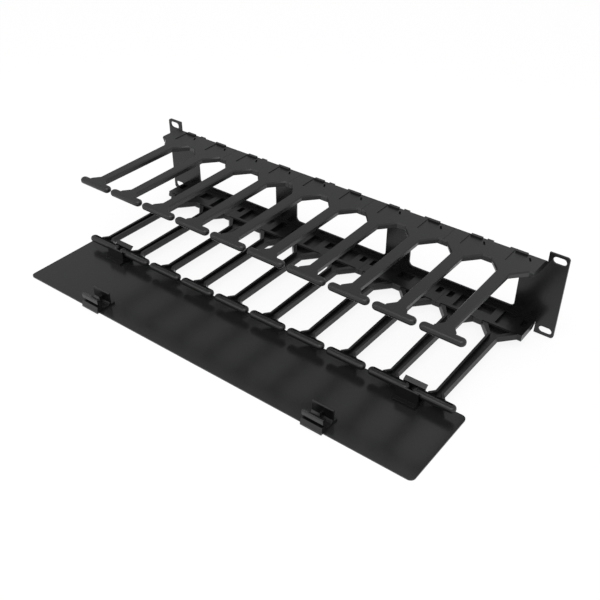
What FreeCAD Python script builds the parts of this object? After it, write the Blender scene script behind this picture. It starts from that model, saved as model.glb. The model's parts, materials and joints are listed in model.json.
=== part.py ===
"""Horizontal cable manager, 2 rack units high, with a hinged snap-on cover.

Frame: X runs to the right along the rack, Y towards the rear, Z up.  The origin is the centre
of the four rack slots, on the front face of the mounting ears, so the back plate fills
Y 0 to 2 and the fingers reach forward to about Y -151.  All sizes are in millimetres.

A folded steel back plate carries two rows of five moulded finger modules.  The lower row is
the same moulding as the upper row, turned half a turn about Y.  The cover swings on the
lower tee bars: two of its four clips hold those bars, the other two snap on the upper ones.
"""
import FreeCAD, Part
import math
import os

import Sketcher
from FreeCAD import Placement, Rotation, Vector

DIMENSIONS = {
    # rack interface
    "panel_width": 482.6,
    "panel_height": 88.1,
    "opening_width": 444.5,
    "slot_spacing_across": 465.1,
    "slot_spacing_up": 76.2,
    "slot_length": 12.7,
    "slot_width": 7.1,
    "ear_corner": 3.0,
    # back plate
    "plate_gauge": 2.0,
    "web_half_height": 32.6,
    "window_width": 114.0,
    "window_height": 50.6,
    "window_corner": 8.0,
    "window_pitch": 142.0,
    "tongue_width": 6.0,
    "tongue_reach": 21.0,
    "tongue_offset": 11.4,
    "tongue_level": 35.2,
    # finger modules
    "module_pitch": 88.9,
    "seam_gap": 0.2,
    "finger_pitch": 44.45,
    "skin_level": 38.0,
    "rim_level": 32.0,
    "land_level": 31.4,
    "wall_draft": 14.0,
    "skin_gauge": 2.2,
    "land_length": 28.5,
    "rear_bevel_length": 5.0,
    "rear_bevel_drop": 3.3,
    "arch_depth": 30.0,
    "arch_flat_half": 3.8,
    "arm_start": 43.5,
    "arm_half_root": 6.5,
    "arm_half_tip": 5.4,
    "arm_end": 137.5,
    "gusset_half": 10.0,
    "gusset_end": 143.0,
    "edge_bevel": 1.4,
    # tee bars
    "bar_axis_depth": 147.0,
    "bar_axis_level": 35.0,
    "bar_length": 41.0,
    "bar_width": 8.5,
    "bar_height": 6.1,
    "bar_bevel": 1.8,
    "groove_half": 16.5,
    "groove_rear": 143.9,
    "groove_front": 147.2,
    "groove_level": 35.2,
    # channels and windows on the inner side of a module
    "root_pocket_half": 11.2,
    "root_pocket_rear": 29.6,
    "root_pocket_front": 40.6,
    "channel_half_root": 2.9,
    "channel_half_tip": 1.7,
    "channel_end": 138.6,
    "channel_flare_half": 5.6,
    "window_floor": 35.0,
    "latch_window_half": 7.0,
    "latch_window_rear": 3.0,
    "latch_window_front": 25.0,
    "middle_window_half": 7.5,
    "middle_window_rear": 5.0,
    "middle_window_front": 17.0,
    "end_window_far": 41.1,
    "end_window_near": 35.5,
    "end_window_rear": 5.5,
    "end_window_front": 15.5,
    "socket_clearance": 0.1,
    # release tab and witness mark on the outer skin
    "tab_half": 7.1,
    "tab_front": 26.0,
    "tab_drop": 0.6,
    "ridge_half": 5.7,
    "ridge_front": 7.8,
    "ridge_rear": 4.6,
    "ridge_rise": 1.2,
    "witness_offset": 10.6,
    "witness_depth": 12.6,
    "witness_half_length": 2.9,
    "witness_half_width": 0.9,
    "witness_sink": 2.0,
    "witness_angle": 120.0,
    # cover
    "cover_length": 455.4,
    "cover_height": 87.3,
    "cover_gauge": 1.3,
    "cover_corner": 5.0,
    "cover_standoff": 10.0,
    "cover_overlap": 9.05,
    # clips
    "hinge_clip_place": 177.8,
    "latch_clip_place": 133.35,
    "latch_reach": 70.0,
    "clip_width": 21.6,
    "clip_pad_outer": 11.6,
    "clip_pad_inner": 11.0,
    "clip_pad_gauge": 2.2,
    "jaw_half": 4.8,
    "jaw_wall": 1.8,
    "jaw_height": 4.7,
    "jaw_corner": 2.2,
    "lip_start": 2.2,
    "lip_reach": 9.7,
    "lip_drop": 0.9,
    "rib_gauge": 1.6,
    "rib_level": -1.2,
    "rib_parting": 2.2,
    # flush rivet that holds each clip
    "rivet_radius": 1.6,
    # how far a cutting outline runs past the face that it cuts
    "overrun": 1.0,
}

SHEET = "Sizes"
MODULES_PER_ROW = 5
OUTER_TONGUES, INNER_TONGUES = 3, 2
X_AXIS, Y_AXIS, Z_AXIS = Vector(1, 0, 0), Vector(0, 1, 0), Vector(0, 0, 1)
HALF_TURN = 180
NEAR = 0.01
PARTS_FOLDER = "parts"

doc = FreeCAD.newDocument("CableManager")


# ---------------------------------------------------------------- helpers
def make_sheet():
    """Put every driving dimension in the spreadsheet, one alias to a row."""
    sheet = doc.addObject("Spreadsheet::Sheet", SHEET)
    for row, (alias, value) in enumerate(DIMENSIONS.items(), start=1):
        sheet.set(f"A{row}", alias)
        sheet.set(f"B{row}", str(value))
        sheet.setAlias(f"B{row}", alias)
    doc.recompute()
    return sheet


def sized(text):
    """Write the sheet's name before each alias in an expression."""
    words, word = [], ""
    for letter in text + " ":
        if letter.isalnum() or letter == "_":
            word += letter
            continue
        words.append(f"{SHEET}.{word}" if word in DIMENSIONS else word)
        words.append(letter)
        word = ""
    return "".join(words).strip()


def size(text):
    """The present value of an expression in the sheet's aliases."""
    value = sheet.evalExpression(sized(text))
    return float(getattr(value, "Value", value))


def new_body(name):
    body = doc.addObject("PartDesign::Body", name)
    body.Label = name
    return body


def plane_of(body, role):
    return next(item for item in body.Origin.OriginFeatures if item.Role == role)


def new_sketch(body, name, role, offset="0"):
    """A sketch on one of the body's own planes, lifted along its normal."""
    sketch = body.newObject("Sketcher::SketchObject", name)
    sketch.AttachmentSupport = [(plane_of(body, role), "")]
    sketch.MapMode = "FlatFace"
    if offset != "0":
        sketch.setExpression("AttachmentOffset.Base.z", sized(offset))
    return sketch


def place(sketch, geometry, position, x, y):
    """Hold one point of the sketch at x and y, which are expressions in the sheet's aliases."""
    for kind, text, axis in (("DistanceX", x, -2), ("DistanceY", y, -1)):
        value = size(text)
        if abs(value) < NEAR:
            sketch.addConstraint(Sketcher.Constraint("PointOnObject", geometry, position, axis))
            continue
        index = sketch.addConstraint(
            Sketcher.Constraint(kind, -1, 1, geometry, position, value))
        sketch.setExpression(f"Constraints[{index}]", sized(text))


def polygon(sketch, corners):
    """A closed outline of straight edges through corners given as pairs of expressions."""
    points = [Vector(size(x), size(y), 0) for x, y in corners]
    first = sketch.GeometryCount
    count = len(points)
    for index in range(count):
        sketch.addGeometry(Part.LineSegment(points[index], points[(index + 1) % count]))
    for index in range(count):
        sketch.addConstraint(Sketcher.Constraint(
            "Coincident", first + index, 2, first + (index + 1) % count, 1))
    for index, (x, y) in enumerate(corners):
        place(sketch, first + index, 1, x, y)


def rectangle(sketch, left, right, low, high):
    polygon(sketch, [(left, low), (right, low), (right, high), (left, high)])


def circle(sketch, x, y, radius):
    index = sketch.addGeometry(
        Part.Circle(Vector(size(x), size(y), 0), Z_AXIS, size(radius)))
    place(sketch, index, 3, x, y)
    limit = sketch.addConstraint(Sketcher.Constraint("Radius", index, size(radius)))
    sketch.setExpression(f"Constraints[{limit}]", sized(radius))


def arc_corner(sketch, x, y, radius, start_degrees, turn=90):
    """An arc about x, y that starts at start_degrees and runs anticlockwise by turn."""
    centre = Vector(size(x), size(y), 0)
    start = math.radians(start_degrees)
    whole = Part.Circle(centre, Z_AXIS, size(radius))
    index = sketch.addGeometry(Part.ArcOfCircle(whole, start, start + math.radians(turn)))
    limit = sketch.addConstraint(Sketcher.Constraint("Radius", index, size(radius)))
    sketch.setExpression(f"Constraints[{limit}]", sized(radius))
    return index


def join_tangent(sketch, arcs):
    """Join arcs in order with straight edges, each tangent to the arcs it meets."""
    for index, arc in enumerate(arcs):
        following = arcs[(index + 1) % len(arcs)]
        start = sketch.Geometry[arc].EndPoint
        end = sketch.Geometry[following].StartPoint
        line = sketch.addGeometry(Part.LineSegment(start, end))
        sketch.addConstraint(Sketcher.Constraint("Tangent", arc, 2, line, 1))
        sketch.addConstraint(Sketcher.Constraint("Tangent", line, 2, following, 1))


def slot(sketch, x, y, half_run, radius):
    """A round-ended slot along the sketch's X whose end centres lie half_run from x."""
    right = arc_corner(sketch, f"{x} + {half_run}", y, radius, -90, HALF_TURN)
    left = arc_corner(sketch, f"{x} - ({half_run})", y, radius, 90, HALF_TURN)
    join_tangent(sketch, [right, left])
    place(sketch, right, 3, f"{x} + {half_run}", y)
    place(sketch, left, 3, f"{x} - ({half_run})", y)


def rounded_rectangle(sketch, x, y, half_x, half_y, radius):
    """A rectangle about x, y with four equal round corners."""
    reach_x, reach_y = f"({half_x} - {radius})", f"({half_y} - {radius})"
    arcs = []
    for sign_x, sign_y, start in (("+", "+", 0), ("-", "+", 90), ("-", "-", 180), ("+", "-", 270)):
        arcs.append(arc_corner(
            sketch, f"{x} {sign_x} {reach_x}", f"{y} {sign_y} {reach_y}", radius, start))
    join_tangent(sketch, arcs)
    place(sketch, arcs[0], 3, f"{x} + {reach_x}", f"{y} + {reach_y}")
    place(sketch, arcs[2], 3, f"{x} - {reach_x}", f"{y} - {reach_y}")
    lines = [index for index in range(sketch.GeometryCount)
             if isinstance(sketch.Geometry[index], Part.LineSegment)][-4:]
    sketch.addConstraint(Sketcher.Constraint("Horizontal", lines[0]))
    sketch.addConstraint(Sketcher.Constraint("Vertical", lines[1]))


def pad(body, sketch, name, length, reverse=False, symmetric=False, draft=None):
    feature = body.newObject("PartDesign::Pad", name)
    feature.Profile = sketch
    feature.setExpression("Length", sized(length))
    feature.Reversed = reverse
    if symmetric:
        feature.SideType = "Symmetric"
    if draft:
        feature.setExpression("TaperAngle", sized(draft))
    doc.recompute()
    return feature


def pocket(body, sketch, name, length, reverse=False, symmetric=False):
    """Cut the sketch into the body, and stop if nothing was cut."""
    before = body.Shape.Volume
    feature = body.newObject("PartDesign::Pocket", name)
    feature.Profile = sketch
    feature.setExpression("Length", sized(length))
    feature.Reversed = reverse
    if symmetric:
        feature.SideType = "Symmetric"
    doc.recompute()
    if body.Shape.Volume > before - NEAR:
        raise RuntimeError(f"{name} cuts nothing")
    return feature


def edges_where(shape, test):
    """Names of the straight or round edges whose two ends both pass the test."""
    names = []
    for number, edge in enumerate(shape.Edges, start=1):
        ends = [vertex.Point for vertex in edge.Vertexes]
        if len(ends) == 2 and all(test(point) for point in ends):
            names.append(f"Edge{number}")
    return names


def dress(body, kind, name, limit, test, property_name):
    """Round or bevel the edges of the body that pass the test."""
    base = body.Tip
    feature = body.newObject(f"PartDesign::{kind}", name)
    feature.Base = (base, edges_where(base.Shape, test))
    feature.setExpression(property_name, sized(limit))
    doc.recompute()
    return feature


def mirror(body, name, role):
    """Mirror the whole body so far in one of its own planes."""
    feature = body.newObject("PartDesign::Mirrored", name)
    feature.TransformMode = "Whole shape"
    feature.MirrorPlane = (plane_of(body, role), [""])
    body.Tip = feature
    doc.recompute()
    return feature


def repeat(body, originals, name, role, step, count):
    """Repeat features along one of the body's own axes."""
    feature = body.newObject("PartDesign::LinearPattern", name)
    feature.Originals = originals
    feature.Direction = (plane_of(body, role), [""])
    feature.Occurrences = count
    feature.setExpression("Length", sized(f"{step} * {count - 1}"))
    body.Tip = feature
    doc.recompute()
    return feature


# ---------------------------------------------------------------- back plate
def make_back_plate():
    """The steel plate: one upper right quarter, mirrored to the left and then down."""
    body = new_body("back_plate")
    blank = new_sketch(body, "plate_outline", "XZ_Plane")
    polygon(blank, [
        ("0", "0"),
        ("panel_width / 2", "0"),
        ("panel_width / 2", "panel_height / 2"),
        ("opening_width / 2", "panel_height / 2"),
        ("opening_width / 2", "web_half_height"),
        ("0", "web_half_height"),
    ])
    pad(body, blank, "plate_blank", "plate_gauge", reverse=True)

    corner = Vector(size("panel_width / 2"), 0, size("panel_height / 2"))
    dress(body, "Fillet", "ear_corner_round", "ear_corner",
          lambda point: abs(point.x - corner.x) < NEAR and abs(point.z - corner.z) < NEAR,
          "Radius")

    cuts = new_sketch(body, "plate_cuts", "XZ_Plane")
    slot(cuts, "slot_spacing_across / 2", "slot_spacing_up / 2",
         "(slot_length - slot_width) / 2", "slot_width / 2")
    for place_x in ("0", "window_pitch"):
        rounded_rectangle(cuts, place_x, "0", "window_width / 2", "window_height / 2",
                          "window_corner")
    pocket(body, cuts, "slot_and_windows", "plate_gauge * 4", symmetric=True)

    for name, place_x, count in (
            ("outer_tongue", "tongue_offset", OUTER_TONGUES),
            ("inner_tongue", "module_pitch - tongue_offset", INNER_TONGUES)):
        profile = new_sketch(body, f"{name}_profile", "YZ_Plane", place_x)
        polygon(profile, [
            ("0", "web_half_height - overrun"),
            ("plate_gauge", "web_half_height - overrun"),
            ("plate_gauge", "tongue_level"),
            ("-tongue_reach", "tongue_level"),
            ("-tongue_reach", "tongue_level - plate_gauge"),
            ("0", "tongue_level - plate_gauge"),
        ])
        tongue = pad(body, profile, name, "tongue_width", symmetric=True)
        repeat(body, [tongue], f"{name}_row", "X_Axis", "module_pitch", count)

    mirror(body, "left_half", "YZ_Plane")
    mirror(body, "lower_half", "XY_Plane")
    return body


# ---------------------------------------------------------------- finger modules
FINGER = "finger_pitch / 2"
MODULE_END = "(module_pitch - seam_gap) / 2"


def make_tee_bar(body):
    """The cross bar on a finger's tip: a round-ended prism with its four long edges bevelled."""
    plan = new_sketch(body, "tee_bar_plan", "XY_Plane", "skin_level")
    slot(plan, FINGER, "-bar_axis_depth", "(bar_length - bar_width) / 2", "bar_width / 2")
    pad(body, plan, "tee_bar", "bar_height", reverse=True)
    corners = new_sketch(body, "tee_bar_corners", "YZ_Plane", FINGER)
    for face, inward, outward in (
            ("skin_level", "-", "+"), ("skin_level - bar_height", "+", "-")):
        for side, back in (("+", "-"), ("-", "+")):
            edge = f"-bar_axis_depth {side} bar_width / 2"
            polygon(corners, [
                (f"{edge} {side} overrun", f"{face} {inward} (bar_bevel + overrun)"),
                (f"{edge} {side} overrun", f"{face} {outward} overrun"),
                (f"{edge} {back} (bar_bevel + overrun)", f"{face} {outward} overrun"),
            ])
    pocket(body, corners, "tee_bar_bevels", "bar_length + overrun", symmetric=True)


def make_arm_shell(body):
    """Arm, gussets and half arches as one drafted block below the outer skin."""
    plan = new_sketch(body, "arm_plan", "XY_Plane", "skin_level")
    polygon(plan, [
        ("-overrun", "-land_length / 2"),
        (f"{MODULE_END} + overrun", "-land_length / 2"),
        (f"{MODULE_END} + overrun", "-arch_depth"),
        ("finger_pitch - arch_flat_half", "-arch_depth"),
        (f"{FINGER} + arm_half_root", "-arm_start"),
        (f"{FINGER} + arm_half_tip", "-arm_end"),
        (f"{FINGER} + gusset_half", "-gusset_end"),
        (f"{FINGER} + gusset_half", "-bar_axis_depth"),
        (f"{FINGER} - gusset_half", "-bar_axis_depth"),
        (f"{FINGER} - gusset_half", "-gusset_end"),
        (f"{FINGER} - arm_half_tip", "-arm_end"),
        (f"{FINGER} - arm_half_root", "-arm_start"),
        ("arch_flat_half", "-arch_depth"),
        ("-overrun", "-arch_depth"),
    ])
    pad(body, plan, "arm_shell", "skin_level - rim_level", reverse=True, draft="-wall_draft")


def make_rear_block(body):
    """The box section behind the arches, with its bevelled rear edge."""
    side = new_sketch(body, "rear_block_side", "YZ_Plane", "-overrun")
    polygon(side, [
        ("-land_length", "land_level"),
        ("0", "land_level"),
        ("0", "skin_level - rear_bevel_drop"),
        ("-rear_bevel_length", "skin_level"),
        ("-land_length", "skin_level"),
    ])
    pad(body, side, "rear_block", f"{MODULE_END} + overrun * 2")


def bevel_outline(body):
    """Bevel the outer skin's edge along the arches and the arms."""
    outer = size("skin_level")
    rear, front = -size("arch_depth"), -size("arm_end")

    def on_outline(point):
        return abs(point.z - outer) < NEAR and front - NEAR < point.y < rear + NEAR
    dress(body, "Chamfer", "outline_bevel", "edge_bevel", on_outline, "Size")


def trim_module_end(body):
    plan = new_sketch(body, "module_end_trim", "XY_Plane", "land_level")
    rectangle(plan, MODULE_END, f"{MODULE_END} + overrun * 3", "-arm_start", "overrun")
    pocket(body, plan, "module_end", "skin_level", symmetric=True)


def make_release_tab(body):
    """The sunk pad behind each finger and the ridge that a fingernail pulls."""
    pad_plan = new_sketch(body, "tab_plan", "XY_Plane", "skin_level")
    rectangle(pad_plan, f"{FINGER} - tab_half", f"{FINGER} + tab_half", "-tab_front",
              "overrun")
    pocket(body, pad_plan, "tab_pad", "tab_drop")
    ridge_side = new_sketch(body, "ridge_side", "YZ_Plane", FINGER)
    polygon(ridge_side, [
        ("-ridge_front", "skin_level - tab_drop * 2"),
        ("-ridge_rear", "skin_level - tab_drop * 2"),
        ("-ridge_rear", "skin_level + ridge_rise"),
        ("-ridge_front + ridge_rise", "skin_level + ridge_rise"),
        ("-ridge_front", "skin_level"),
    ])
    pad(body, ridge_side, "ridge", "ridge_half * 2", symmetric=True)


def hollow_module(body):
    """Channels in the arms, pockets at their roots and windows in the inner land."""
    arm = new_sketch(body, "channel_plan", "XY_Plane", "land_level")
    polygon(arm, [
        (f"{FINGER} - root_pocket_half", "-root_pocket_rear"),
        (f"{FINGER} + root_pocket_half", "-root_pocket_rear"),
        (f"{FINGER} + channel_half_root", "-root_pocket_front"),
        (f"{FINGER} + channel_half_tip", "-channel_end"),
        (f"{FINGER} + channel_flare_half", "-groove_rear"),
        (f"{FINGER} - channel_flare_half", "-groove_rear"),
        (f"{FINGER} - channel_half_tip", "-channel_end"),
        (f"{FINGER} - channel_half_root", "-root_pocket_front"),
    ])
    pocket(body, arm, "arm_channel", "skin_level - skin_gauge - land_level", reverse=True)

    groove = new_sketch(body, "groove_plan", "XY_Plane", "land_level")
    rectangle(groove, f"{FINGER} - groove_half", f"{FINGER} + groove_half",
              "-groove_front", "-groove_rear")
    pocket(body, groove, "tee_bar_groove", "groove_level - land_level", reverse=True)

    windows = new_sketch(body, "window_plan", "XY_Plane", "land_level")
    rectangle(windows, f"{FINGER} - latch_window_half", f"{FINGER} + latch_window_half",
              "-latch_window_front", "-latch_window_rear")
    rectangle(windows, "-overrun", "middle_window_half", "-middle_window_front",
              "-middle_window_rear")
    rectangle(windows, "end_window_near", "end_window_far", "-end_window_front",
              "-end_window_rear")
    pocket(body, windows, "land_windows", "window_floor - land_level", reverse=True)

    socket = new_sketch(body, "socket_plan", "XY_Plane",
                        "tongue_level - plate_gauge - socket_clearance")
    rectangle(socket, "tongue_offset - tongue_width / 2 - socket_clearance",
              "tongue_offset + tongue_width / 2 + socket_clearance",
              "-tongue_reach - socket_clearance", "overrun")
    pocket(body, socket, "tongue_socket", "plate_gauge + socket_clearance * 2", reverse=True)


def make_finger_module(name, placement):
    """One moulding with two fingers: its right half, mirrored, then the witness marks."""
    body = new_body(name)
    make_tee_bar(body)
    make_arm_shell(body)
    bevel_outline(body)
    make_rear_block(body)
    trim_module_end(body)
    make_release_tab(body)
    hollow_module(body)
    mirror(body, "second_finger", "YZ_Plane")
    for side, sign in (("left", "-"), ("right", "")):
        plan = new_sketch(body, f"witness_plan_{side}", "XY_Plane", "skin_level")
        plan.setExpression("AttachmentOffset.Base.x",
                           sized(f"{sign}{FINGER} + witness_offset"))
        plan.setExpression("AttachmentOffset.Base.y", sized("-witness_depth"))
        plan.setExpression("AttachmentOffset.Rotation.Angle", sized("witness_angle"))
        rectangle(plan, "-witness_half_length", "witness_half_length",
                  "-witness_half_width", "witness_half_width")
        pocket(body, plan, f"witness_mark_{side}", "witness_sink")
    body.Placement = placement
    return body


def make_finger_rows():
    """Five modules above and five below; the lower ones are turned half a turn about Y."""
    modules = []
    for row, angle in (("top", 0), ("bottom", HALF_TURN)):
        for number in range(MODULES_PER_ROW):
            place_x = (number - (MODULES_PER_ROW - 1) / 2) * size("module_pitch")
            placement = Placement(Vector(place_x, 0, 0), Rotation(Y_AXIS, angle))
            modules.append(
                make_finger_module(f"{row}_finger_module_{number + 1}", placement))
    return modules


# ---------------------------------------------------------------- cover, clips and rivets
def make_cover():
    """The flat cover, lying open, with a hole for each rivet."""
    body = new_body("cover_panel")
    plan = new_sketch(body, "cover_plan", "XY_Plane", "-bar_axis_level - cover_standoff")
    rounded_rectangle(plan, "0", "-bar_axis_depth + cover_overlap - cover_height / 2",
                      "cover_length / 2", "cover_height / 2", "cover_corner")
    for place_x, place_y in clip_places():
        circle(plan, place_x, place_y, "rivet_radius")
    pad(body, plan, "cover_sheet", "cover_gauge", reverse=True)
    return body


def clip_places():
    """X and Y of the four clips, as expressions: hinge clips, then latch clips."""
    return [
        ("-hinge_clip_place", "-bar_axis_depth"),
        ("hinge_clip_place", "-bar_axis_depth"),
        ("-latch_clip_place", "-bar_axis_depth - latch_reach"),
        ("latch_clip_place", "-bar_axis_depth - latch_reach"),
    ]


def make_clip(name, place_x, place_y, turn):
    """A jaw that embraces a tee bar; local Y points to the cover's middle, Z away from it."""
    body = new_body(name)
    section = new_sketch(body, "jaw_section", "YZ_Plane")
    pad_top = "(clip_pad_gauge - cover_standoff)"
    polygon(section, [
        ("-clip_pad_outer", "-cover_standoff"),
        ("clip_pad_inner", "-cover_standoff"),
        ("clip_pad_inner", pad_top),
        ("jaw_half + jaw_wall", pad_top),
        ("jaw_half + jaw_wall", "jaw_height - jaw_wall / 3"),
        ("jaw_half + jaw_wall * 2 / 3", "jaw_height"),
        ("jaw_half + jaw_wall / 3", "jaw_height"),
        ("jaw_half", "jaw_height - jaw_wall / 3"),
        ("jaw_half", f"{pad_top} + jaw_corner"),
        ("jaw_half - jaw_corner", pad_top),
        ("-jaw_half + jaw_corner", pad_top),
        ("-jaw_half", f"{pad_top} + jaw_corner"),
        ("-jaw_half", "lip_start"),
        ("-lip_reach + lip_drop", "jaw_height"),
        ("-lip_reach", "jaw_height - lip_drop"),
        ("-jaw_half - jaw_wall", "lip_start - lip_drop"),
        ("-jaw_half - jaw_wall", pad_top),
        ("-clip_pad_outer", pad_top),
    ])
    pad(body, section, "jaw", "clip_width", symmetric=True)
    ribs = new_sketch(body, "rib_sections", "YZ_Plane")
    for near, far in (("-rib_parting", "-jaw_half - jaw_wall / 2"),
                      ("rib_parting", "jaw_half + jaw_wall / 2")):
        rectangle(ribs, near, far, f"{pad_top} - clip_pad_gauge / 2", "rib_level")
    pad(body, ribs, "centring_ribs", "rib_gauge", symmetric=True)
    hole = new_sketch(body, "rivet_hole_plan", "XY_Plane", "-cover_standoff")
    circle(hole, "0", "0", "rivet_radius")
    pocket(body, hole, "rivet_hole", "clip_pad_gauge", reverse=True)
    body.Placement = Placement(
        Vector(size(place_x), size(place_y), -size("bar_axis_level")), Rotation(Z_AXIS, turn))
    return body


def make_rivet(name, place_x, place_y):
    """A flush rivet through the cover and the clip's pad."""
    rivet = doc.addObject("Part::Cylinder", name)
    rivet.Label = name
    rivet.setExpression("Radius", sized("rivet_radius"))
    rivet.setExpression("Height", sized("cover_gauge + clip_pad_gauge"))
    rivet.setExpression("Placement.Base.x", sized(place_x))
    rivet.setExpression("Placement.Base.y", sized(place_y))
    rivet.setExpression("Placement.Base.z",
                        sized("-bar_axis_level - cover_standoff - cover_gauge"))
    return rivet


def make_clips_and_rivets():
    made = []
    names = ["hinge_clip_left", "hinge_clip_right", "latch_clip_left", "latch_clip_right"]
    for name, (place_x, place_y) in zip(names, clip_places()):
        turn = HALF_TURN if name.startswith("hinge") else 0
        made.append(make_clip(name, place_x, place_y, turn))
        made.append(make_rivet(f"{name}_rivet", place_x, place_y))
    return made


# ---------------------------------------------------------------- checks and export
def check_document():
    """Stop if an object failed or holds a null or invalid shape."""
    for item in doc.Objects:
        if {"Invalid", "Error"} & set(item.State):
            raise RuntimeError(f"{item.Label} did not compute: {item.State}")


def export(pieces):
    os.makedirs(PARTS_FOLDER, exist_ok=True)
    for piece in pieces:
        shape = piece.Shape
        if shape.isNull() or not shape.isValid():
            raise RuntimeError(f"{piece.Label} has no valid shape")
        shape.exportStep(os.path.join(PARTS_FOLDER, f"{piece.Label}.step"))
        print(f"{piece.Label}: {len(shape.Solids)} solid, {shape.Volume / 1000:.2f} cm3")


sheet = make_sheet()
pieces = [make_back_plate()]
pieces += make_finger_rows()
pieces.append(make_cover())
pieces += make_clips_and_rivets()
doc.recompute()
check_document()
export(pieces)
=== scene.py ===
"""Dresses the horizontal cable manager: refined meshes, finishes, studio and camera.

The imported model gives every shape, size and place.  This script gives each piece softened
edges and the finish of the real material, adds ejector-pin marks, rivet heads and the latch
jaws' fronts, and sets a plain pale floor, soft light and a camera.
"""

import json
import logging
import math
from dataclasses import dataclass, field
from enum import Enum
from typing import Any, Callable

import bmesh
import bpy
from mathutils import Matrix, Vector

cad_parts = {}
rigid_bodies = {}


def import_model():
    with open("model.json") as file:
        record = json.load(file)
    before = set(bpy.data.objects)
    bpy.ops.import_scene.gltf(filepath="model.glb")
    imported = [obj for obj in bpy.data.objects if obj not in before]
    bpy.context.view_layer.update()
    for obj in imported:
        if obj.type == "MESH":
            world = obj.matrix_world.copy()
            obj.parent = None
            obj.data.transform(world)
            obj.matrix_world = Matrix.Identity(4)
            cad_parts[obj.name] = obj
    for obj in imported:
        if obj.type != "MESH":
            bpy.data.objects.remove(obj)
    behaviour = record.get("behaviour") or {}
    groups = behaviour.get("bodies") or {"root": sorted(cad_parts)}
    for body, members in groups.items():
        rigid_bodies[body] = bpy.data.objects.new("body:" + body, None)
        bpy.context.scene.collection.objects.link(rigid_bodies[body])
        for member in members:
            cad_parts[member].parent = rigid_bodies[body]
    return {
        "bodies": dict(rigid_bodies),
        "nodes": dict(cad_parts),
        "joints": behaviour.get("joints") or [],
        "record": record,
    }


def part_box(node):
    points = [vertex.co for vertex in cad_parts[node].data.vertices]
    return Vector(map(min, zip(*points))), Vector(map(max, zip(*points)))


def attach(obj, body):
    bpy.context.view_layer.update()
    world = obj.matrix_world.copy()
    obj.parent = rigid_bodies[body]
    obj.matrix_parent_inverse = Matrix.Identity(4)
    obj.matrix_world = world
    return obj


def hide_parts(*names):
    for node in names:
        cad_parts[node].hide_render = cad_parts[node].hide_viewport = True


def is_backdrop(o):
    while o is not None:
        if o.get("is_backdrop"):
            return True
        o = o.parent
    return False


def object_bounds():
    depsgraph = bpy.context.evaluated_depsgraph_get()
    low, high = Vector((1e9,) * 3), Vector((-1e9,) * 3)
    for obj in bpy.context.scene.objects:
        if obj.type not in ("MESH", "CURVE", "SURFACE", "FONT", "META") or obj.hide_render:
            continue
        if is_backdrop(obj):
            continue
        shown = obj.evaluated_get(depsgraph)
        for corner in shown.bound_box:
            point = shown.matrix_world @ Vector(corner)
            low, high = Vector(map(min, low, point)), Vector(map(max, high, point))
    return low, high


LOG = logging.getLogger("cable_manager")
MM = 0.001
FRAME_BODY = "frame"
COVER_BODY = "cover"
ROWS = ("top", "bottom")
MODULES_PER_ROW = 5
CLIPS = ("hinge_clip_left", "hinge_clip_right", "latch_clip_left", "latch_clip_right")
LATCH_PREFIX = "latch"
# Two places this near to each other, in millimetres, count as one.
NEAR = 0.05
# The band that a noise texture's values mostly fall in.
NOISE_LOW, NOISE_HIGH = 0.3, 0.7

Point = tuple[float, float, float]
Outline = tuple[tuple[float, float], ...]


# ------------------------------------------------------------------ colours and nodes
def linear(hex_colour: str) -> tuple[float, float, float, float]:
    """Turn an sRGB hex colour into linear light.

    Args:
        hex_colour: Six hex digits, such as "1c1c1e".

    Returns:
        Red, green, blue and alpha for a shader socket.
    """
    channels = []
    for start in (0, 2, 4):
        value = int(hex_colour[start:start + 2], 16) / 255
        channels.append(value / 12.92 if value <= 0.04045 else ((value + 0.055) / 1.055) ** 2.4)
    return (*channels, 1.0)


def add_node(tree: bpy.types.NodeTree, kind: str, settings: dict[str, Any] | None = None,
             inputs: dict[Any, Any] | None = None) -> bpy.types.Node:
    """Add one node with its settings, values and links.

    Args:
        tree: The tree that gets the node.
        kind: The node's Blender type name.
        settings: Attributes of the node.
        inputs: Values for its input sockets, where an output socket makes a link.

    Returns:
        The new node.
    """
    node = tree.nodes.new(kind)
    for name, value in (settings or {}).items():
        setattr(node, name, value)
    for name, value in (inputs or {}).items():
        if isinstance(value, bpy.types.NodeSocket):
            tree.links.new(value, node.inputs[name])
        else:
            node.inputs[name].default_value = value
    return node


def seen_directly(tree: bpy.types.NodeTree) -> bpy.types.NodeSocket:
    """Tell rays that show the floor, also in a mirror or through glass, from those that light.

    Args:
        tree: The floor's tree.

    Returns:
        A socket that is 1 on camera, glossy and transmission rays.
    """
    path = add_node(tree, "ShaderNodeLightPath")
    mirrored = add_node(tree, "ShaderNodeMath", {"operation": "MAXIMUM"}, {
        0: path.outputs["Is Glossy Ray"], 1: path.outputs["Is Transmission Ray"]})
    return add_node(tree, "ShaderNodeMath", {"operation": "MAXIMUM"}, {
        0: path.outputs["Is Camera Ray"], 1: mirrored.outputs[0]}).outputs[0]


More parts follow.
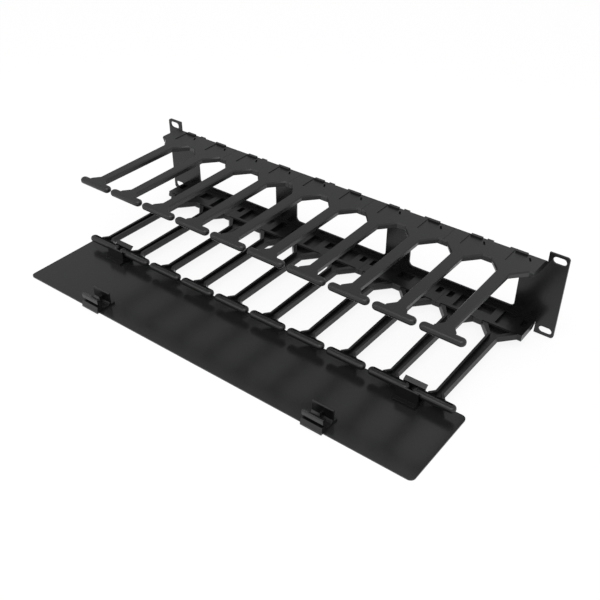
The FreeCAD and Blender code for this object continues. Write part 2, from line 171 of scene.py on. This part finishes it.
@dataclass(frozen=True)
class MouldedFinish:
    """A black paint or plastic whose grain is a fine bump and a slight change of gloss.

    Sizes are real ones in millimetres.
    """
    name: str
    colour: str
    roughness: float
    roughness_swing: float
    grain_mm: float
    grain_depth_mm: float
    wave_mm: float
    wave_depth_mm: float
    ior: float = 1.5

    def make(self) -> bpy.types.Material:
        """Build the material.

        Returns:
            A material that reads Object coordinates only.
        """
        material = bpy.data.materials.new(self.name)
        material.use_nodes = True
        tree = material.node_tree
        tree.nodes.clear()
        place = add_node(tree, "ShaderNodeTexCoord").outputs["Object"]
        grain = add_node(tree, "ShaderNodeTexNoise", None, {
            "Vector": place, "Scale": 1 / (self.grain_mm * MM), "Detail": 2.0}).outputs["Fac"]
        wave = add_node(tree, "ShaderNodeTexNoise", None, {
            "Vector": place, "Scale": 1 / (self.wave_mm * MM), "Detail": 1.0}).outputs["Fac"]
        coarse = add_node(tree, "ShaderNodeBump", None, {
            "Strength": 1.0, "Distance": self.wave_depth_mm * MM, "Height": wave})
        fine = add_node(tree, "ShaderNodeBump", None, {
            "Strength": 1.0, "Distance": self.grain_depth_mm * MM, "Height": grain,
            "Normal": coarse.outputs["Normal"]})
        gloss = add_node(tree, "ShaderNodeMapRange", None, {
            "Value": wave, "From Min": NOISE_LOW, "From Max": NOISE_HIGH,
            "To Min": self.roughness - self.roughness_swing,
            "To Max": self.roughness + self.roughness_swing})
        shader = add_node(tree, "ShaderNodeBsdfPrincipled", None, {
            "Base Color": linear(self.colour), "IOR": self.ior,
            "Roughness": gloss.outputs["Result"], "Normal": fine.outputs["Normal"]})
        add_node(tree, "ShaderNodeOutputMaterial", None, {"Surface": shader.outputs["BSDF"]})
        return material


# Black polyester powder coat on sheet steel: satin, with a shallow orange peel.
POWDER_COATED_STEEL = MouldedFinish(
    "powder_coated_steel", "101011", 0.22, 0.02, 0.35, 0.002, 2.2, 0.004, 1.42)
# Black flame-retardant polycarbonate moulding: satin, from a fine spark-eroded tool.
SPARK_TEXTURED_POLYCARBONATE = MouldedFinish(
    "spark_textured_polycarbonate", "0b0b0c", 0.36, 0.03, 0.3, 0.005, 4.0, 0.006)
# Smooth black baked enamel on the cover sheet: semi-gloss, so it mirrors the fingers softly.
BAKED_ENAMEL_SHEET = MouldedFinish(
    "baked_enamel_sheet", "1a1a1b", 0.21, 0.015, 0.5, 0.0006, 9.0, 0.0012, 1.5)
# Black acetal jaws: a little glossier than the modules, as the tool was polished.
MOULDED_ACETAL = MouldedFinish(
    "moulded_acetal", "0c0c0d", 0.32, 0.04, 0.3, 0.003, 3.0, 0.004, 1.48)
# Black anodised aluminium rivets.
BLACK_ANODISED_ALUMINIUM = MouldedFinish(
    "black_anodised_aluminium", "161617", 0.38, 0.04, 0.3, 0.003, 2.0, 0.004)


# ------------------------------------------------------------------ meshes
def new_piece(name: str, mesh: bpy.types.Mesh) -> bpy.types.Object:
    """Link a new object that stands at the origin.

    Args:
        name: The object's name.
        mesh: Its mesh, with its place in its vertices.

    Returns:
        The new object.
    """
    piece = bpy.data.objects.new(name, mesh)
    bpy.context.scene.collection.objects.link(piece)
    return piece


def mesh_from(shape: bmesh.types.BMesh, name: str) -> bpy.types.Mesh:
    """Turn a bmesh into a mesh with smooth faces, and free it.

    Args:
        shape: The bmesh.
        name: The mesh's name.

    Returns:
        The mesh.
    """
    mesh = bpy.data.meshes.new(name)
    shape.to_mesh(mesh)
    shape.free()
    mesh.polygons.foreach_set("use_smooth", [True] * len(mesh.polygons))
    return mesh


def prism(corners: list[Point], shift: Point) -> bmesh.types.BMesh:
    """Push a flat outline along a straight line.

    Args:
        corners: The outline, in metres.
        shift: How far and which way it is pushed, in metres.

    Returns:
        A closed bmesh with its faces outwards.
    """
    shape = bmesh.new()
    end = shape.faces.new([shape.verts.new(corner) for corner in corners])
    grown = bmesh.ops.extrude_face_region(shape, geom=[end])["geom"]
    moved = [item for item in grown if isinstance(item, bmesh.types.BMVert)]
    bmesh.ops.translate(shape, vec=shift, verts=moved)
    bmesh.ops.recalc_face_normals(shape, faces=shape.faces)
    return shape


def settle(piece: bpy.types.Object) -> None:
    """Put the result of a piece's modifiers in its mesh and remove them.

    Args:
        piece: The object.
    """
    bpy.context.view_layer.update()
    evaluated = piece.evaluated_get(bpy.context.evaluated_depsgraph_get())
    mesh = bpy.data.meshes.new_from_object(evaluated)
    piece.modifiers.clear()
    piece.data = mesh


def even_normals(piece: bpy.types.Object) -> None:
    """Shade flat faces flat and let only the softened edges turn the light.

    Args:
        piece: The object.
    """
    piece.modifiers.new("even_normals", "WEIGHTED_NORMAL").keep_sharp = True


class Join(Enum):
    """How one closed mesh is worked into another."""
    ADD = "UNION"
    CUT = "DIFFERENCE"


def work_in(piece: bpy.types.Object, tool: bpy.types.Object, join: Join) -> None:
    """Add a tool's volume to a piece or cut it away.

    Args:
        piece: The object that is changed.
        tool: The closed mesh object that is used up.
        join: Whether the tool adds or cuts.
    """
    change = piece.modifiers.new("change", "BOOLEAN")
    change.operation = join.value
    change.solver = "EXACT"
    change.object = tool
    settle(piece)
    bpy.data.objects.remove(tool)


def block_tool(name: str, low: Point, high: Point) -> bpy.types.Object:
    """A block to cut with, from its two corners in millimetres.

    Args:
        name: The tool's name.
        low: Its lowest corner.
        high: Its highest corner.

    Returns:
        The tool.
    """
    shape = bmesh.new()
    bmesh.ops.create_cube(shape, size=1.0)
    for vertex in shape.verts:
        vertex.co = Vector([MM * (b if side > 0 else a)
                            for a, b, side in zip(low, high, vertex.co)])
    return new_piece(name, mesh_from(shape, name))


@dataclass(frozen=True)
class EdgeCare:
    """How a CAD node's mesh is cleaned and its sharp edges are softened."""
    weld_mm: float = 0.001
    flat_degrees: float = 0.4
    soften_mm: float = 0.25
    soften_segments: int = 2
    sharp_degrees: float = 32.0

    def cleaned(self, node: bpy.types.Object) -> bmesh.types.BMesh:
        """Merge a CAD node's loose triangles into whole faces.

        Args:
            node: The CAD node's object, which is left as it is.

        Returns:
            A closed bmesh.
        """
        shape = bmesh.new()
        shape.from_mesh(node.data)
        bmesh.ops.remove_doubles(shape, verts=shape.verts, dist=self.weld_mm * MM)
        bmesh.ops.dissolve_limit(
            shape, angle_limit=math.radians(self.flat_degrees), use_dissolve_boundaries=False,
            verts=shape.verts, edges=shape.edges)
        return shape

    def soften(self, piece: bpy.types.Object,
               width: Callable[[bmesh.types.BMEdge], float] | None = None) -> None:
        """Round a piece's sharp edges.

        Args:
            piece: The object.
            width: Gives an edge's own width in millimetres, where they differ.
        """
        shape = bmesh.new()
        shape.from_mesh(piece.data)
        widths = []
        for edge in shape.edges:
            sharp = edge.is_manifold and edge.calc_face_angle(0) > math.radians(
                self.sharp_degrees)
            widths.append((width(edge) if width else self.soften_mm) if sharp else 0.0)
        shape.to_mesh(piece.data)
        shape.free()
        widest = max(widths)
        weights = piece.data.attributes.new("bevel_weight_edge", "FLOAT", "EDGE")
        weights.data.foreach_set("value", [value / widest for value in widths])
        rounding = piece.modifiers.new("rounding", "BEVEL")
        rounding.limit_method = "WEIGHT"
        rounding.width = widest * MM
        rounding.segments = self.soften_segments
        settle(piece)

    def refine(self, name: str, node: bpy.types.Object) -> bpy.types.Object:
        """Make a welded copy of a CAD node with softened edges.

        Args:
            name: The new piece's name.
            node: The CAD node's object, which is left as it is.

        Returns:
            A new object at the origin, linked to the scene.
        """
        piece = new_piece(name, mesh_from(self.cleaned(node), name))
        self.soften(piece)
        even_normals(piece)
        return piece


@dataclass
class Workshop:
    """What every sub-assembly needs: the frame and the finished materials."""
    frame: dict[str, Any]
    finishes: dict[str, bpy.types.Material] = field(default_factory=dict)

    def finish(self, finish: MouldedFinish) -> bpy.types.Material:
        """Give the material of a finish, made the first time it is asked for.

        Args:
            finish: The finish.

        Returns:
            Its material.
        """
        if finish.name not in self.finishes:
            self.finishes[finish.name] = finish.make()
        return self.finishes[finish.name]

    def stand_in(self, piece: bpy.types.Object, node: str, body: str,
                 finish: MouldedFinish) -> None:
        """Let a finished piece stand for a CAD node.

        Args:
            piece: The piece.
            node: The CAD node's name.
            body: The body that it rides on.
            finish: The finish that it gets.
        """
        piece.data.materials.clear()
        piece.data.materials.append(self.finish(finish))
        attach(piece, body)
        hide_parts(node)
        LOG.info("%s: %d faces", piece.name, len(piece.data.polygons))

    def dress(self, node: str, body: str, finish: MouldedFinish,
              care: EdgeCare) -> bpy.types.Object:
        """Stand a refined copy in for a CAD node.

        Args:
            node: The CAD node's name.
            body: The body that it rides on.
            finish: The finish that it gets.
            care: How its edges are softened.

        Returns:
            The new piece.
        """
        piece = care.refine(f"{node}_dressed", self.frame["nodes"][node])
        self.stand_in(piece, node, body, finish)
        return piece


# ------------------------------------------------------------------ sub-assemblies
@dataclass
class BackPlate:
    """The pressed steel plate: rounded folds, tight window corners and deburred edges.

    Sizes are in millimetres.  The arcs are a window's corners in the CAD node, from its middle.
    """
    care: EdgeCare = field(default_factory=lambda: EdgeCare(soften_mm=0.2))
    rear_face: float = 2.0
    bend_level: float = 35.2
    bend_round: float = 1.5
    window_pitch: float = 142.0
    arc_centre: tuple[float, float] = (49.0, 17.3)
    arc_radius: float = 8.0
    corner_radius: float = 4.5
    on_arc: float = 0.1

    def edge_width(self, edge: bmesh.types.BMEdge) -> float:
        """How far one sharp edge of the sheet is rounded: a fold more than a cut.

        Args:
            edge: The edge.

        Returns:
            The width in millimetres.
        """
        ends = [vertex.co / MM for vertex in edge.verts]
        folded = all(abs(end.y - self.rear_face) < NEAR
                     and abs(abs(end.z) - self.bend_level) < NEAR for end in ends)
        return self.bend_round if folded else self.care.soften_mm

    def tighten_corners(self, shape: bmesh.types.BMesh) -> None:
        """Give the windows the tighter corners of a punched opening.

        Args:
            shape: The plate.
        """
        across, up = self.arc_centre
        inset = self.arc_radius - self.corner_radius
        scale = self.corner_radius / self.arc_radius
        for vertex in shape.verts:
            x, y, z = vertex.co / MM
            middle = self.window_pitch * round(x / self.window_pitch)
            right, above = abs(x - middle) - across, abs(z) - up
            off_arc = abs(math.hypot(right, above) - self.arc_radius)
            if min(right, above) > -NEAR and off_arc < self.on_arc:
                vertex.co = MM * Vector((
                    middle + math.copysign(across + inset + right * scale, x - middle), y,
                    math.copysign(up + inset + above * scale, z)))

    def build(self, workshop: Workshop) -> None:
        """Dress the plate.

        Args:
            workshop: The frame and the materials.
        """
        shape = self.care.cleaned(workshop.frame["nodes"]["back_plate"])
        self.tighten_corners(shape)
        plate = new_piece("back_plate_dressed", mesh_from(shape, "back_plate_dressed"))
        self.care.soften(plate, self.edge_width)
        even_normals(plate)
        workshop.stand_in(plate, "back_plate", FRAME_BODY, POWDER_COATED_STEEL)


@dataclass(frozen=True)
class StudField:
    """Equal low studs on an even grid, made by Geometry Nodes.  Sizes are in millimetres."""
    name: str
    body: str
    slot: str
    finish: MouldedFinish
    centre: Point
    span: tuple[float, float]
    count: tuple[int, int]
    radius: float
    height: float
    segments: int = 24
    rings: int = 12

    def tree(self, material: bpy.types.Material) -> tuple[bpy.types.NodeTree, dict[str, str]]:
        """Lay out the node tree.

        Args:
            material: What the studs are made of.

        Returns:
            The tree, and each named input's socket identifier.
        """
        tree = bpy.data.node_groups.new("stud_field", "GeometryNodeTree")
        sockets = {}
        for kind, labels in (("NodeSocketFloat", ("Span X", "Span Y")),
                             ("NodeSocketInt", ("Columns", "Rows")),
                             ("NodeSocketVector", ("Centre", "Stud Size"))):
            for label in labels:
                sockets[label] = tree.interface.new_socket(
                    name=label, in_out="INPUT", socket_type=kind).identifier
        tree.interface.new_socket(name="Geometry", in_out="OUTPUT",
                                  socket_type="NodeSocketGeometry")
        given = add_node(tree, "NodeGroupInput").outputs
        grid = add_node(tree, "GeometryNodeMeshGrid", None, {
            "Size X": given["Span X"], "Size Y": given["Span Y"],
            "Vertices X": given["Columns"], "Vertices Y": given["Rows"]})
        placed = add_node(tree, "GeometryNodeSetPosition", None, {
            "Geometry": grid.outputs["Mesh"], "Offset": given["Centre"]})
        stud = add_node(tree, "GeometryNodeMeshUVSphere", None, {
            "Segments": self.segments, "Rings": self.rings, "Radius": 1.0})
        copies = add_node(tree, "GeometryNodeInstanceOnPoints", None, {
            "Points": placed.outputs["Geometry"], "Instance": stud.outputs["Mesh"],
            "Scale": given["Stud Size"]})
        solid = add_node(tree, "GeometryNodeRealizeInstances", None, {
            "Geometry": copies.outputs["Instances"]})
        coated = add_node(tree, "GeometryNodeSetMaterial", None, {
            "Geometry": solid.outputs["Geometry"], "Material": material})
        add_node(tree, "NodeGroupOutput", None, {"Geometry": coated.outputs["Geometry"]})
        return tree, sockets

    def build(self, workshop: Workshop) -> None:
        """Make the studs and let them ride on their body.

        Args:
            workshop: The frame and the materials.
        """
        tree, sockets = self.tree(workshop.finish(self.finish))
        piece = new_piece(self.name, bpy.data.meshes.new(self.name))
        studs = piece.modifiers.new("studs", "NODES")
        studs.node_group = tree
        for label, value in (
                ("Span X", self.span[0] * MM), ("Span Y", self.span[1] * MM),
                ("Columns", self.count[0]), ("Rows", self.count[1]),
                ("Centre", Vector(self.centre) * MM),
                ("Stud Size", Vector((self.radius, self.radius, self.height)) * MM)):
            studs[sockets[label]] = value
        settle(piece)
        piece.data.polygons.foreach_set("use_smooth", [True] * len(piece.data.polygons))
        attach(piece, self.body)


@dataclass(frozen=True)
class TeeBar:
    """The pebble-shaped cross bar on a finger's tip, in millimetres."""
    length: float = 41.0
    width: float = 8.5
    height: float = 6.1
    outer_level: float = 38.0
    depth: float = 147.0
    edge_round: float = 2.7
    edge_segments: int = 6
    end_segments: int = 14

    def tool(self, centre: float) -> bpy.types.Object:
        """Make the bar about one finger's centre line.

        Args:
            centre: The finger's X.

        Returns:
            A closed mesh object.
        """
        radius, run = self.width / 2, (self.length - self.width) / 2
        corners = []
        for side, start in ((1, -90), (-1, 90)):
            for step in range(self.end_segments + 1):
                angle = math.radians(start + 180 * step / self.end_segments)
                corners.append((
                    MM * (centre + side * run + radius * math.cos(angle)),
                    MM * (radius * math.sin(angle) - self.depth),
                    MM * (self.outer_level - self.height)))
        shape = prism(corners, (0, 0, self.height * MM))
        caps = {face for face in shape.faces if len(face.verts) == len(corners)}
        rims = [edge for edge in shape.edges if caps.intersection(edge.link_faces)]
        bmesh.ops.bevel(shape, geom=rims, offset=self.edge_round * MM, offset_type="OFFSET",
                        segments=self.edge_segments, profile=0.5, affect="EDGES")
        return new_piece("tee_bar_tool", mesh_from(shape, "tee_bar_tool"))


@dataclass
class FingerRows:
    """The ten finger modules: one moulding, made once and set in its ten places."""
    care: EdgeCare = field(default_factory=lambda: EdgeCare(soften_mm=0.22, soften_segments=3))
    pattern: str = "top_finger_module_3"
    bar: TeeBar = field(default_factory=TeeBar)
    fingers: tuple[float, float] = (-22.225, 22.225)
    bar_cut: float = 142.9
    bar_root: float = 146.0
    groove: tuple[float, float, float, float] = (16.5, 143.9, 147.2, 35.2)
    outline_mm: float = 0.5
    rim_mm: float = 0.6
    outward: float = 0.1
    pin_level: float = 35.8
    pin_middle: float = -88.0
    pin_span: tuple[float, float] = (400.05, 66.0)
    pin_count: tuple[int, int] = (10, 4)
    pin_radius: float = 1.8
    pin_rise: float = 0.15
    outline_level: float = 36.0
    arch_front: float = 29.5
    rim_level: float = 32.0
    ridge_foot: float = 38.6
    ridge_top: float = 39.0
    ridge_rear: float = 4.6
    ridge_middle: float = 5.6
    ridge_front: float = 7.7

    def edge_width(self, edge: bmesh.types.BMEdge) -> float:
        """How far one sharp edge of the moulding is rounded.

        Args:
            edge: The edge.

        Returns:
            The width in millimetres.
        """
        middle = (edge.verts[0].co + edge.verts[1].co) / (2 * MM)
        if middle.y > -self.arch_front:
            return self.care.soften_mm
        if middle.z > self.outline_level:
            return self.outline_mm
        near = min(self.fingers, key=lambda centre: abs(middle.x - centre))
        faces_out = any((face.calc_center_median().x / MM - near) * face.normal.x
                        > self.outward for face in edge.link_faces)
        on_rim = abs(middle.z - self.rim_level) < NEAR
        return self.rim_mm if on_rim and faces_out else self.care.soften_mm

    def trim_ridge(self, shape: bmesh.types.BMesh) -> None:
        """Lower the release ridge a little and set its front face upright.

        Args:
            shape: The moulding.
        """
        for vertex in shape.verts:
            if vertex.co.z > self.ridge_foot * MM:
                vertex.co.z = self.ridge_top * MM
                vertex.co.y = min(vertex.co.y, -self.ridge_rear * MM)
                if vertex.co.y < -self.ridge_middle * MM:
                    vertex.co.y = -self.ridge_front * MM

    def cut_bars(self, shape: bmesh.types.BMesh) -> None:
        """Cut the bars off and lengthen each arm into the place of its new bar.

        Args:
            shape: The moulding.
        """
        whole = list(shape.verts) + list(shape.edges) + list(shape.faces)
        bmesh.ops.bisect_plane(
            shape, geom=whole, plane_co=(0, -self.bar_cut * MM, 0), plane_no=(0, -1, 0),
            clear_outer=True)
        rims = [edge for edge in shape.edges if edge.is_boundary]
        caps = bmesh.ops.triangle_fill(shape, use_beauty=True, edges=rims)["geom"]
        roots = [item for item in caps if isinstance(item, bmesh.types.BMFace)]
        grown = bmesh.ops.extrude_face_region(shape, geom=roots)["geom"]
        bmesh.ops.translate(
            shape, vec=(0, (self.bar_cut - self.bar_root) * MM, 0),
            verts=[item for item in grown if isinstance(item, bmesh.types.BMVert)])
        bmesh.ops.delete(shape, geom=roots, context="FACES_ONLY")
        bmesh.ops.recalc_face_normals(shape, faces=shape.faces)

    def make_pattern(self, node: bpy.types.Object) -> bpy.types.Object:
        """Make the moulding with rounded bars in place of the CAD node's bevelled ones.

        Args:
            node: The CAD node of the module in the middle of the upper row.

        Returns:
            The finished moulding.
        """
        shape = self.care.cleaned(node)
        self.trim_ridge(shape)
        self.cut_bars(shape)
        moulding = new_piece("moulding", mesh_from(shape, "moulding"))
        self.care.soften(moulding, self.edge_width)
        half, rear, front, floor = self.groove
        for centre in self.fingers:
            work_in(moulding, self.bar.tool(centre), Join.ADD)
            work_in(moulding, block_tool(
                "groove_tool", (centre - half, -front, 0), (centre + half, -rear, floor)),
                Join.CUT)
        return moulding

    def build(self, workshop: Workshop) -> None:
        """Make the moulding once, then set a copy in each place.

        Args:
            workshop: The frame and the materials.
        """
        nodes = workshop.frame["nodes"]
        moulding = self.make_pattern(nodes[self.pattern])
        for row in ROWS:
            turn = Matrix.Rotation(math.pi if row == "bottom" else 0.0, 4, "Y")
            for number in range(1, MODULES_PER_ROW + 1):
                name = f"{row}_finger_module_{number}"
                low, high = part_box(name)
                mesh = moulding.data.copy()
                mesh.transform(Matrix.Translation(((low.x + high.x) / 2, 0, 0)) @ turn)
                piece = new_piece(f"{name}_dressed", mesh)
                even_normals(piece)
                workshop.stand_in(piece, name, FRAME_BODY,
                                  SPARK_TEXTURED_POLYCARBONATE)
        bpy.data.objects.remove(moulding)
        for row, side in zip(ROWS, (1, -1)):
            StudField(f"{row}_ejector_pin_marks", FRAME_BODY, "finger_module",
                      SPARK_TEXTURED_POLYCARBONATE,
                      (0.0, self.pin_middle, side * self.pin_level),
                      self.pin_span, self.pin_count, self.pin_radius, self.pin_rise
                      ).build(workshop)


@dataclass(frozen=True)
class LatchFront:
    """What a latch jaw carries on its front: a thick lip and, below it, a ledge for the thumb.

    Outlines are in millimetres, Y and Z from the middle of the bar that the jaw holds, with
    the cover's free edge towards minus Y.
    """
    lip: Outline = (
        (-9.45, 3.75), (-9.6, 3.3), (-9.2, -0.6), (-5.8, -0.6), (-5.8, 2.2))
    ledge: Outline = (
        (-11.35, -9.0), (-11.35, -7.7), (-10.2, -3.2), (-5.8, -3.2), (-5.8, -9.0))
    width: float = 21.6

    def tool(self, outline: Outline, place: Vector) -> bpy.types.Object:
        """Make a bar with this outline across the jaw.

        Args:
            outline: Corners of the section.
            place: Middle of the bar that the jaw holds, in metres.

        Returns:
            A closed mesh object.
        """
        half = self.width / 2 * MM
        corners = [(place.x - half, place.y + y * MM, place.z + z * MM) for y, z in outline]
        shape = prism(corners, (2 * half, 0, 0))
        return new_piece("front_tool", mesh_from(shape, "front_tool"))

    def add_to(self, jaw: bpy.types.Object, place: Vector) -> None:
        """Add the lip and the ledge to a jaw.

        Args:
            jaw: The jaw, in the form of its CAD node.
            place: Middle of the bar that the jaw holds, in metres.
        """
        for outline in (self.lip, self.ledge):
            work_in(jaw, self.tool(outline, place), Join.ADD)


@dataclass
class Cover:
    """The cover sheet with its jaws and rivets.  Sizes are in millimetres."""
    front: LatchFront = field(default_factory=LatchFront)
    bar_level: float = -35.0
    latch_depth: float = -217.0
    pad_level: float = -42.8
    hinge_depth: float = -147.0
    hinge_span: float = 355.6
    latch_span: float = 266.7
    head_radius: float = 2.1
    head_rise: float = 0.9
    sheet_care: EdgeCare = field(default_factory=lambda: EdgeCare(soften_mm=0.3))
    clip_care: EdgeCare = field(default_factory=lambda: EdgeCare(soften_mm=0.35,
                                                                 soften_segments=3))
    rivet_care: EdgeCare = field(default_factory=lambda: EdgeCare(soften_mm=0.3))

    def build_latch(self, workshop: Workshop, clip: str) -> None:
        """Dress a latch jaw, with its front added.

        Args:
            workshop: The frame and the materials.
            clip: The CAD node's name.
        """
        low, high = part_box(clip)
        name = f"{clip}_dressed"
        node = workshop.frame["nodes"][clip]
        jaw = new_piece(name, mesh_from(self.clip_care.cleaned(node), name))
        self.front.add_to(jaw, Vector((
            (low.x + high.x) / 2, self.latch_depth * MM, self.bar_level * MM)))
        jaw.data = mesh_from(self.clip_care.cleaned(jaw), name)
        self.clip_care.soften(jaw)
        even_normals(jaw)
        workshop.stand_in(jaw, clip, COVER_BODY, MOULDED_ACETAL)

    def build(self, workshop: Workshop) -> None:
        """Dress the sheet, the clips and the rivets.

        Args:
            workshop: The frame and the materials.
        """
        workshop.dress("cover_panel", COVER_BODY, BAKED_ENAMEL_SHEET,
                       self.sheet_care)
        for clip in CLIPS:
            if clip.startswith(LATCH_PREFIX):
                self.build_latch(workshop, clip)
            else:
                workshop.dress(clip, COVER_BODY, MOULDED_ACETAL, self.clip_care)
            workshop.dress(f"{clip}_rivet", COVER_BODY, BLACK_ANODISED_ALUMINIUM,
                           self.rivet_care)
        for kind, depth, span in (("hinge", self.hinge_depth, self.hinge_span),
                                  ("latch", self.latch_depth, self.latch_span)):
            StudField(f"{kind}_rivet_heads", COVER_BODY, "rivet", BLACK_ANODISED_ALUMINIUM,
                      (0.0, depth, self.pad_level), (span, 0.0), (2, 1),
                      self.head_radius, self.head_rise).build(workshop)


# ------------------------------------------------------------------ studio
class SkyLevel(Enum):
    """Light from each part of the surroundings, where 1 is white."""
    OPEN = 0.85
    SHADED = 0.45


@dataclass(frozen=True)
class Softbox:
    """One square lamp that faces the object: which way it stands, how far, how wide, how strong."""
    name: str
    direction: Point
    distance: float
    width: float
    watts: float

    def hang(self, centre: Vector) -> None:
        """Hang the lamp.

        Args:
            centre: Middle of the object, which it faces.
        """
        data = bpy.data.lights.new(self.name, "AREA")
        data.size = self.width
        data.energy = self.watts
        lamp = bpy.data.objects.new(self.name, data)
        lamp.location = centre + Vector(self.direction).normalized() * self.distance
        lamp.rotation_euler = (centre - lamp.location).to_track_quat("-Z", "Y").to_euler()
        bpy.context.scene.collection.objects.link(lamp)


@dataclass(frozen=True)
class Studio:
    """A pale floor, an open sky with one darker patch, and two soft lamps."""
    floor_colour: str = "f7f7f7"
    floor_glow: float = 0.88
    floor_reach: float = 6.0
    shade_direction: Point = (-0.6, 0.6, 0.5)
    shade_edge: float = 0.83
    lamps: tuple[Softbox, ...] = (
        Softbox("overhead_softbox", (0.22, -0.36, 0.9), 1.6, 1.5, 15.0),
        Softbox("front_softbox", (-0.55, -0.7, 0.5), 1.8, 0.5, 2.0),
    )

    def build(self, lowest: float, centre: Vector) -> None:
        """Make the floor, the world and the lamps.

        Args:
            lowest: Height of the floor.
            centre: Middle of the object.
        """
        self._make_floor(lowest)
        self._make_world()
        for lamp in self.lamps:
            lamp.hang(centre)

    def _make_floor(self, lowest: float) -> None:
        """Make the floor, white to the camera where nothing shades it.

        Args:
            lowest: Height of the floor.
        """
        shape = bmesh.new()
        bmesh.ops.create_grid(shape, x_segments=1, y_segments=1, size=self.floor_reach)
        bmesh.ops.translate(shape, verts=shape.verts, vec=(0, 0, lowest))
        mesh = bpy.data.meshes.new("floor")
        shape.to_mesh(mesh)
        shape.free()
        floor = bpy.data.objects.new("floor", mesh)
        bpy.context.scene.collection.objects.link(floor)
        material = bpy.data.materials.new("matt_white_board")
        material.use_nodes = True
        tree = material.node_tree
        tree.nodes.clear()
        matt = add_node(tree, "ShaderNodeBsdfDiffuse", None, {"Color": linear(self.floor_colour)})
        glow = add_node(tree, "ShaderNodeEmission", None, {
            "Color": (1.0, 1.0, 1.0, 1.0), "Strength": 1.0})
        share = add_node(tree, "ShaderNodeMath", {"operation": "MULTIPLY"}, {
            0: seen_directly(tree), 1: self.floor_glow})
        mixed = add_node(tree, "ShaderNodeMixShader", None, {
            0: share.outputs[0], 1: matt.outputs[0], 2: glow.outputs[0]})
        add_node(tree, "ShaderNodeOutputMaterial", None, {"Surface": mixed.outputs[0]})
        mesh.materials.append(material)
        floor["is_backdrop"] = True

    def _make_world(self) -> None:
        """Make an open sky with a darker patch behind the object on its left."""
        world = bpy.data.worlds.new("open_sky")
        world.use_nodes = True
        tree = world.node_tree
        tree.nodes.clear()
        direction = add_node(tree, "ShaderNodeTexCoord").outputs["Generated"]
        nearness = add_node(tree, "ShaderNodeVectorMath", {"operation": "DOT_PRODUCT"}, {
            0: direction, 1: Vector(self.shade_direction).normalized()}).outputs["Value"]
        level = add_node(tree, "ShaderNodeMapRange", {"interpolation_type": "SMOOTHSTEP"}, {
            "Value": nearness, "From Min": self.shade_edge, "From Max": 1.0,
            "To Min": SkyLevel.OPEN.value, "To Max": SkyLevel.SHADED.value})
        sky = add_node(tree, "ShaderNodeBackground", None, {
            "Color": (1.0, 1.0, 1.0, 1.0), "Strength": level.outputs["Result"]})
        add_node(tree, "ShaderNodeOutputWorld", None, {"Surface": sky.outputs[0]})
        bpy.context.scene.world = world


@dataclass(frozen=True)
class Viewpoint:
    """The camera: a 50 mm lens looking down on the open cover from the right."""
    azimuth: float = 37.41
    elevation: float = 36.18
    distance: float = 0.96345
    aim: Point = (-0.05206, 0.0, -0.12954)
    lens: float = 50.0
    sensor: float = 36.0

    def place(self) -> None:
        """Create the camera and make it the scene's."""
        turn, rise = math.radians(self.azimuth), math.radians(self.elevation)
        back = Vector((math.sin(turn) * math.cos(rise), -math.cos(turn) * math.cos(rise),
                       math.sin(rise)))
        data = bpy.data.cameras.new("camera")
        data.lens = self.lens
        data.sensor_width = self.sensor
        camera = bpy.data.objects.new("camera", data)
        camera.location = Vector(self.aim) + back * self.distance
        camera.rotation_mode = "QUATERNION"
        camera.rotation_quaternion = (-back).to_track_quat("-Z", "Y")
        bpy.context.scene.collection.objects.link(camera)
        bpy.context.scene.camera = camera


def main() -> None:
    """Build every sub-assembly in order."""
    logging.basicConfig(level=logging.INFO, format="%(name)s: %(message)s")
    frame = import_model()
    cad_low, cad_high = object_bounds()
    bpy.context.scene.view_settings.view_transform = "Standard"
    Viewpoint().place()
    workshop = Workshop(frame)
    BackPlate().build(workshop)
    FingerRows().build(workshop)
    Cover().build(workshop)
    Studio().build(cad_low.z, (cad_low + cad_high) / 2)


if __name__ == "__main__":
    main()
